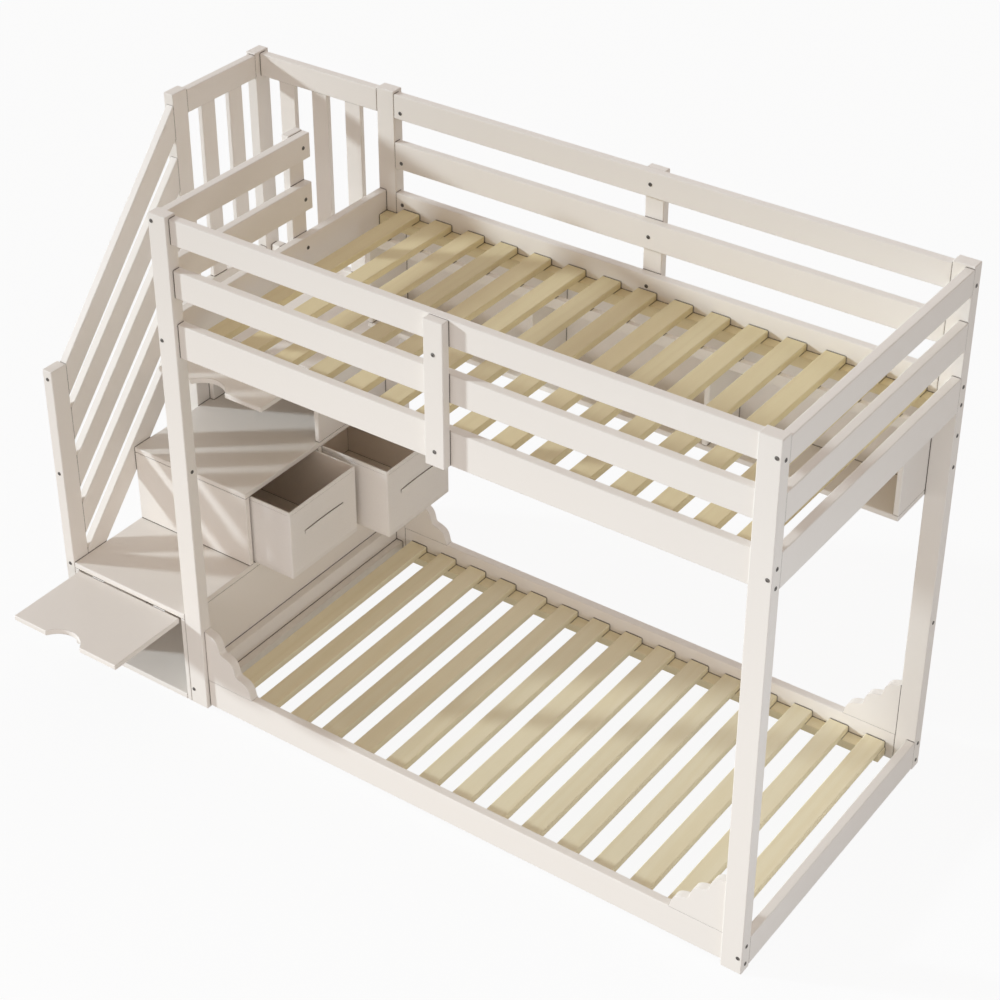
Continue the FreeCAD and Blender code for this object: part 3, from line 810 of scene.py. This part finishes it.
@dataclass
class Bin:
    """One open cloth-covered bin with a hemmed rim and a sewn pull on its front."""

    node: str
    cloth: bpy.types.Material
    lining_with_painted_shade: bpy.types.Material
    pull_gap_shade: bpy.types.Material
    corner: float = 0.005
    corner_steps: int = 5
    least_corner: float = 0.0008
    foot_bevel: float = 0.001
    wall: float = 0.0055
    lining_slack: float = 0.0001
    hem: float = 0.0016
    fold_share: float = 0.3
    seam_drop: float = 0.013
    seam_depth: float = 0.0005
    seam_reach: float = 0.0012
    bow: float = 0.0005
    columns: int = 12
    rows: int = 10
    pull_length: float = 0.190
    pull_height: float = 0.017
    pull_above_foot: float = 0.149
    pull_proud: float = 0.0042
    pull_arch: float = 0.003
    pull_sunk: float = 0.001
    pull_foot: float = 0.0002
    pull_edge: float = 0.0012
    gap_shade_facing: float = 0.8
    pull_end_fall: float = 0.35
    pull_steps: int = 24
    stitch_pitch: float = 0.006
    stitch_size: tuple[float, float] = (0.0036, 0.0009)
    stitch_lift: float = 0.0001

    def build(self) -> list[bpy.types.Object]:
        """Model the bin in the space of its node.

        Returns:
            The bin's shell, its pull and its stitches.
        """
        pieces = [self.shell(), self.pull(), self.stitches()]
        for piece in pieces:
            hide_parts(self.node)
            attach(piece, self.node)
        return pieces

    def shell(self) -> bpy.types.Object:
        """The covered walls and floor, outside and inside.

        Returns:
            The shell.
        """
        form = bmesh.new()
        low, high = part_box(self.node)
        centre = (low + high) / 2.0
        half = (high - low) / 2.0
        rings = [self.ring(form, centre, half, inset, z, swell)
                 for inset, z, swell in self.outer_profile(low.z, high.z)]
        rings += [self.ring(form, centre, half, inset, z, 0.0)
                  for inset, z in self.inner_profile(low.z, high.z)]
        for lower, upper in zip(rings, rings[1:]):
            bridge(form, lower, upper)
        form.faces.new(list(reversed(rings[0])))
        form.faces.new(rings[-1])
        made = mesh_object(self.node + "_cloth", form, 50.0)
        wear(made, self.cloth)
        # Inside faces take a warmer, darker copy of the cloth as painted shade inside the bin.
        made.data.materials.append(self.lining_with_painted_shade)
        inner_x = half.x - self.wall + self.lining_slack
        inner_y = half.y - self.wall + self.lining_slack
        rim = high.z - 2.0 * self.hem
        for face in made.data.polygons:
            spot = face.center - centre
            if abs(spot.x) < inner_x and abs(spot.y) < inner_y and low.z + self.hem < face.center.z < rim:
                face.material_index = 1
        return made

    def outer_profile(self, foot: float, rim: float) -> list[tuple[float, float, float]]:
        """Inset, height and swell of each ring from the foot up over the hem.

        Args:
            foot: The bin's foot.
            rim: The bin's rim.

        Returns:
            The rings' values.
        """
        seam = rim - self.seam_drop
        rows = [(self.foot_bevel, foot, 0.0), (0.0, foot + self.foot_bevel, 0.0)]
        for row in range(1, self.rows):
            up = row / self.rows
            rows.append((0.0, foot + (seam - foot) * up, self.bow * math.sin(math.pi * up)))
        fold = self.fold_share * self.hem
        rows += [(0.0, seam - self.seam_reach, 0.0), (self.seam_depth, seam, 0.0),
                 (0.0, seam + self.seam_reach, 0.0)]
        rows += [(0.0, rim - self.hem, 0.0), (fold, rim - fold, 0.0), (self.hem, rim, 0.0)]
        return rows

    def inner_profile(self, foot: float, rim: float) -> list[tuple[float, float]]:
        """Inset and height of each ring from the hem down to the bin's floor.

        Args:
            foot: The bin's foot.
            rim: The bin's rim.

        Returns:
            The rings' values.
        """
        wall, fold = self.wall, self.fold_share * self.hem
        return [(wall - self.hem, rim), (wall - fold, rim - fold), (wall, rim - self.hem),
                (wall, (foot + rim) / 2.0), (wall, foot + wall)]

    def ring(self, form: bmesh.types.BMesh, centre: Vector, half: Vector, inset: float, z: float,
             swell: float) -> list[bmesh.types.BMVert]:
        """One ring round the bin.

        Args:
            form: The mesh to add to.
            centre: The bin's centre.
            half: Half of the bin's size.
            inset: How far inside the node's faces the ring lies.
            z: Its height.
            swell: How far the middles of its sides stand out.

        Returns:
            The ring's points.
        """
        half_x = half.x - inset - self.bow
        half_y = half.y - inset - self.bow
        corners = rounded_outline(half_x, half_y, max(self.corner - inset, self.least_corner),
                                  self.corner_steps)
        count = self.corner_steps + 1
        points = []
        for side in range(4):
            arc = corners[side * count:(side + 1) * count]
            after = corners[((side + 1) * count) % len(corners)]
            points += [form.verts.new((centre.x + x, centre.y + y, z)) for x, y in arc]
            for step in range(1, self.columns):
                share = step / self.columns
                x = arc[-1][0] + (after[0] - arc[-1][0]) * share
                y = arc[-1][1] + (after[1] - arc[-1][1]) * share
                out = swell * math.sin(math.pi * share)
                if side % 2:
                    x += math.copysign(out, x)
                else:
                    y += math.copysign(out, y)
                points.append(form.verts.new((centre.x + x, centre.y + y, z)))
        return points

    def pull(self) -> bpy.types.Object:
        """The sewn pull: a strip that stands off the front along its upper edge and dies away below; its top
        and ends are dark as painted shade of the gap behind it.

        Returns:
            The pull.
        """
        form = bmesh.new()
        low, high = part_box(self.node)
        face = high.x - self.bow
        top = low.z + self.pull_above_foot
        middle = (low.y + high.y) / 2.0
        drop, sunk = self.pull_height, self.pull_sunk
        rows = []
        for step in range(self.pull_steps + 1):
            across = 2.0 * step / self.pull_steps - 1.0
            y = middle + across * self.pull_length / 2.0
            lift = self.pull_proud * (1.0 - self.pull_end_fall * abs(across) ** 6)
            crest = top + self.pull_arch * (1.0 - across * across)
            section = ((-sunk, -drop), (self.pull_foot, -drop), (0.55 * lift, -0.5 * drop),
                       (lift, -self.pull_edge), (0.95 * lift, 0.0), (-sunk, 0.0))
            rows.append([form.verts.new((face + out, y, crest + up)) for out, up in section])
        for left, right in zip(rows, rows[1:]):
            bridge(form, left, right)
        form.faces.new(list(reversed(rows[0])))
        form.faces.new(rows[-1])
        made = mesh_object(self.node + "_pull", form, 40.0)
        wear(made, self.cloth)
        made.data.materials.append(self.pull_gap_shade)
        # Painted shade: faces turned up or to the ends take the dark cloth that stands for the gap's shadow.
        for side in made.data.polygons:
            side.material_index = int(max(side.normal.z, abs(side.normal.y)) > self.gap_shade_facing)
        return made

    def stitches(self) -> bpy.types.Object:
        """A row of stitches along the hem's seam on all four sides.

        Returns:
            All the stitches as one piece.
        """
        form = bmesh.new()
        low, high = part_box(self.node)
        z = high.z - self.seam_drop
        inset = self.bow - self.stitch_lift
        for axis in (0, 1):
            other = 1 - axis
            count = int((high[axis] - low[axis] - 4.0 * self.corner) / self.stitch_pitch)
            start = (high[axis] + low[axis]) / 2.0 - (count - 1) * self.stitch_pitch / 2.0
            for wall, outward in ((low[other] + inset, -1.0), (high[other] - inset, 1.0)):
                for index in range(count):
                    self.stitch(form, axis, start + index * self.stitch_pitch, wall, outward, z)
        made = mesh_object(self.node + "_stitches", form, 180.0)
        wear(made, self.cloth)
        return made

    def stitch(self, form: bmesh.types.BMesh, axis: int, along: float, wall: float, outward: float,
               z: float) -> None:
        """One stitch: a small lozenge half sunk in the cloth.

        Args:
            form: The mesh to add to.
            axis: The axis that the stitch runs along, 0 or 1.
            along: Its place on that axis.
            wall: Where the cloth lies on the other axis.
            outward: Which way the cloth faces on the other axis.
            z: Its height.
        """
        length, width = self.stitch_size
        reach = ((-length / 2.0, 0.0, 0.0), (0.0, width / 2.0, 0.0), (length / 2.0, 0.0, 0.0),
                 (0.0, -width / 2.0, 0.0), (0.0, 0.0, width / 2.0), (0.0, 0.0, -width / 2.0))
        points = []
        for run, out, up in reach:
            spot = [0.0, 0.0, z + up]
            spot[axis] = along + run
            spot[1 - axis] = wall + outward * out
            points.append(form.verts.new(spot))
        left, front, right, back, top, foot = points
        for cap in (top, foot):
            for first, second in ((left, front), (front, right), (right, back), (back, left)):
                form.faces.new((first, second, cap))


@dataclass
class BoltHeads:
    """Socket bolt heads on thin washers, one on each plain head of the frame."""

    steel: bpy.types.Material
    node: str = "bolt_heads"
    sides: int = 24
    washer_share: float = 0.35
    head_share: float = 0.92
    bevel_share: float = 0.08
    socket_share: float = 0.5
    socket_depth_share: float = 0.85
    socket_taper: float = 0.96
    shoulder_share: float = 0.8
    groove_share: float = 0.6

    def build(self) -> bpy.types.Object:
        """Model every head in the place of its plain one, all of them as one piece."""
        form = bmesh.new()
        for group in islands(frame["nodes"][self.node].data):
            self.head(form, group)
        made = mesh_object("bolt_head_sockets", form, 30.0)
        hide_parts(self.node)
        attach(made, ROOT)
        wear(made, self.steel)
        return made

    def head(self, form: bmesh.types.BMesh, group: list[Vector]) -> None:
        """Model one head: a washer, and a rounded disc with a hexagon socket.

        Args:
            form: The mesh to add to.
            group: The points of the plain head.
        """
        low = Vector([min(p[i] for p in group) for i in range(3)])
        high = Vector([max(p[i] for p in group) for i in range(3)])
        size = high - low
        axis = min(range(3), key=lambda i: size[i])
        radius = max(size) / 2.0
        thick = size[axis]
        outward = 1.0 if axis == 0 else -1.0
        base = (low + high) / 2.0
        base[axis] = low[axis] if outward > 0 else high[axis]
        normal = Vector([outward if i == axis else 0.0 for i in range(3)])
        turn = Vector((0.0, 0.0, 1.0)).rotation_difference(normal).to_matrix().to_4x4()
        move = Matrix.Translation(base) @ turn
        washer = thick * self.washer_share
        head = radius * self.head_share
        flat = radius * self.socket_share
        deep = thick * (1.0 - self.socket_depth_share)
        profile = ((radius, 0.0, False), (radius, washer, False), (head, washer * self.groove_share, False),
                   (head, thick * self.shoulder_share, False),
                   (head - radius * self.bevel_share, thick, False), (flat, thick, True),
                   (flat * self.socket_taper, deep, True))
        rings = [self.ring(form, move, reach, height, hexagon) for reach, height, hexagon in profile]
        for lower, upper in zip(rings, rings[1:]):
            bridge(form, lower, upper)
        form.faces.new(rings[-1])

    def ring(self, form: bmesh.types.BMesh, move: Matrix, reach: float, height: float,
             hexagon: bool) -> list[bmesh.types.BMVert]:
        """One ring of a head, round or six-sided.

        Args:
            form: The mesh to add to.
            move: Where the head stands.
            reach: The ring's radius.
            height: The ring's height above the wood.
            hexagon: Whether the ring is six-sided.

        Returns:
            The ring's points.
        """
        points = []
        for step in range(self.sides):
            angle = 2.0 * math.pi * step / self.sides
            part = angle % (math.pi / 3.0) - math.pi / 6.0
            radius = reach * math.cos(math.pi / 6.0) / math.cos(part) if hexagon else reach
            spot = Vector((radius * math.cos(angle), radius * math.sin(angle), height))
            points.append(form.verts.new(move @ spot))
        return points


# ------------------------ studio
@dataclass(frozen=True)
class Lamp:
    """One lamp of the studio: a far sun, or a softbox that stands near the bed."""

    name: str
    aim: tuple[float, float, float]
    strength: float
    color: tuple[float, float, float]
    angle: float = 0.0
    place: tuple[float, float, float] = (0.0, 0.0, 0.0)
    size: tuple[float, float] = (0.0, 0.0)

    def hang(self) -> None:
        """Put the lamp into the scene."""
        data = bpy.data.lights.new(self.name, "SUN" if self.angle else "AREA")
        data.energy = self.strength
        data.color = self.color
        if self.angle:
            data.angle = math.radians(self.angle)
        else:
            data.shape = "RECTANGLE"
            data.size, data.size_y = self.size
        made = bpy.data.objects.new(self.name, data)
        made.location = self.place
        made.rotation_euler = Vector(self.aim).to_track_quat("-Z", "Y").to_euler()
        made.visible_camera = False
        bpy.context.scene.collection.objects.link(made)


LAMPS = (
    Lamp("key", (2.0, 1.0, -0.68), 2.72, (0.81, 0.92, 1.0), angle=4.5),
    Lamp("front_softbox", (0.0, 1.0, 0.0), 18.0, (1.0, 0.97, 0.97), place=(0.0, -2.6, 0.35), size=(3.0, 0.6)),
    Lamp("side_softbox", (-1.0, 0.3, -0.1), 12.0, (0.75, 0.87, 1.0), place=(2.8, -0.8, 0.9), size=(1.6, 1.6)),
    Lamp("back_fill", (0.15, -1.0, -0.08), 0.8, (0.93, 0.97, 1.0), angle=60.0),
)


@dataclass
class Studio:
    """Floor, world, lamps and camera."""

    camera_place: tuple[float, float, float] = (3.23298, -4.32456, 4.55732)
    azimuth: float = 36.13
    elevation: float = 32.02
    roll: float = -0.4
    lens: float = 80.99
    shift: tuple[float, float] = (0.0262, -0.0985)
    farthest: float = 200.0
    sky: Color = (0.485, 0.425, 0.39, 1.0)
    ground: Color = (0.33, 0.31, 0.28, 1.0)
    horizon_blur: float = 0.05
    backdrop: Color = (0.956, 0.956, 0.956, 1.0)
    floor_half: float = 30.0
    floor_base: Color = (0.9, 0.9, 0.9, 1.0)
    floor_roughness: float = 0.9
    floor_white: Color = (0.985, 0.985, 0.985, 1.0)
    floor_glow: float = 0.93

    def build(self) -> None:
        """Set up everything that isn't part of the bed."""
        bpy.context.scene.view_settings.view_transform = "Standard"
        self.floor()
        self.world()
        for lamp in LAMPS:
            lamp.hang()
        self.camera()

    def camera(self) -> None:
        """Stand the camera where the photograph was taken from."""
        data = bpy.data.cameras.new("photo_camera")
        data.lens = self.lens
        data.shift_x, data.shift_y = self.shift
        data.dof.use_dof = False
        data.clip_end = self.farthest
        made = bpy.data.objects.new("photo_camera", data)
        look = Euler((math.radians(90.0 - self.elevation), 0.0, math.radians(self.azimuth))).to_matrix()
        turn = Matrix.Rotation(math.radians(self.roll), 3, "Z")
        made.matrix_world = Matrix.Translation(self.camera_place) @ (look @ turn).to_4x4()
        bpy.context.scene.collection.objects.link(made)
        bpy.context.scene.camera = made

    def floor(self) -> None:
        """Lay a plain pale floor that keeps a faint shadow."""
        form = bmesh.new()
        bmesh.ops.create_grid(form, x_segments=1, y_segments=1, size=self.floor_half)
        made = mesh_object("studio_floor", form)
        material, graph, shader = new_material("studio_floor")
        graph.fill(shader, Base_Color=self.floor_base, Roughness=self.floor_roughness)
        white = graph.node("ShaderNodeEmission", Color=self.floor_white)
        both = graph.node("ShaderNodeMixShader")
        graph.feed(both.inputs[0], graph.math("MULTIPLY", graph.seen(), self.floor_glow))
        graph.feed(both.inputs[1], shader.outputs[0])
        graph.feed(both.inputs[2], white.outputs[0])
        output = next(n for n in material.node_tree.nodes if n.bl_idname == "ShaderNodeOutputMaterial")
        graph.feed(output.inputs["Surface"], both.outputs[0])
        wear(made, material)
        made.visible_diffuse = False
        made.visible_shadow = False

    def world(self) -> None:
        """Give a soft sky over a duller ground, and a plain backdrop where the camera looks at it."""
        world = bpy.data.worlds.new("studio")
        bpy.context.scene.world = world
        world.use_nodes = True
        graph = Graph(world.node_tree)
        world.node_tree.nodes.clear()
        way = graph.node("ShaderNodeTexCoord").outputs["Generated"]
        height = graph.node("ShaderNodeSeparateXYZ", Vector=way).outputs[2]
        above = graph.span(height, -self.horizon_blur, self.horizon_blur)
        glow = graph.node("ShaderNodeBackground", Color=graph.mix(above, self.ground, self.sky), Strength=1.0)
        white = graph.node("ShaderNodeBackground", Color=self.backdrop, Strength=1.0)
        both = graph.node("ShaderNodeMixShader")
        graph.feed(both.inputs[0], graph.seen())
        graph.feed(both.inputs[1], glow.outputs[0])
        graph.feed(both.inputs[2], white.outputs[0])
        graph.node("ShaderNodeOutputWorld", Surface=both.outputs[0])


# ------------------------ main
def painted_nodes() -> list[str]:
    """Names of the nodes whose record gives them painted wood."""
    return [row["node"] for row in frame["record"]["subparts"] if row["material_slot"] == "painted_wood"]


def main() -> None:
    """Build the studio and dress every piece of the bed."""
    logging.basicConfig(level=logging.INFO, format="%(name)s: %(message)s")
    Studio().build()
    LOG.info("studio ready")
    LOG.info("painted nodes: %d", PaintedJoinery().dress(painted_nodes()))
    LOG.info("brackets: %d", ScallopedBrackets().build(bpy.data.materials["paint_along_x"]))
    LOG.info("pine nodes: %d", SlattedDecks().dress())
    # Hinge enamel: its third colour is a lighter arris as painted highlight, and painted shade darkens its
    # joints.
    enamel = SatinPaint("hinge_enamel", (0.78, 0.75, 0.71, 1.0), (0.72, 0.69, 0.65, 1.0),
                        (0.82, 0.79, 0.76, 1.0), mottle=0.15, roughness=0.35, arris=0.0004,
                        joint_shade_reach=0.0015).material()
    for name in ("fixed_hinges", "flap_hinges_lower", "flap_hinges_upper"):
        wear(frame["nodes"][name], enamel)
    steel = PlatedSteel("bolt_zinc", (0.21, 0.195, 0.18, 1.0), (0.12, 0.11, 0.10, 1.0)).material()
    LOG.info("piece %s", BoltHeads(steel).build().name)
    cloth = BinCloth("bin_cloth", (0.90, 0.86, 0.82, 1.0), (0.82, 0.775, 0.735, 1.0)).material()
    # A warmer, darker copy of the cloth: painted shade for the inside of the bins.
    lining_with_painted_shade = BinCloth("bin_lining_painted_shade", (0.90, 0.82, 0.74, 1.0), (0.84, 0.75, 0.67, 1.0)).material()
    # A dark cloth for the pull's top and ends: painted shade of the gap behind it.
    pull_gap_shade = BinCloth("pull_gap_painted_shade", (0.20, 0.165, 0.135, 1.0), (0.12, 0.095, 0.075, 1.0)).material()
    for node in ("bin_front", "bin_rear"):
        for piece in Bin(node, cloth, lining_with_painted_shade, pull_gap_shade).build():
            LOG.info("piece %s", piece.name)


if __name__ == "__main__":
    main()
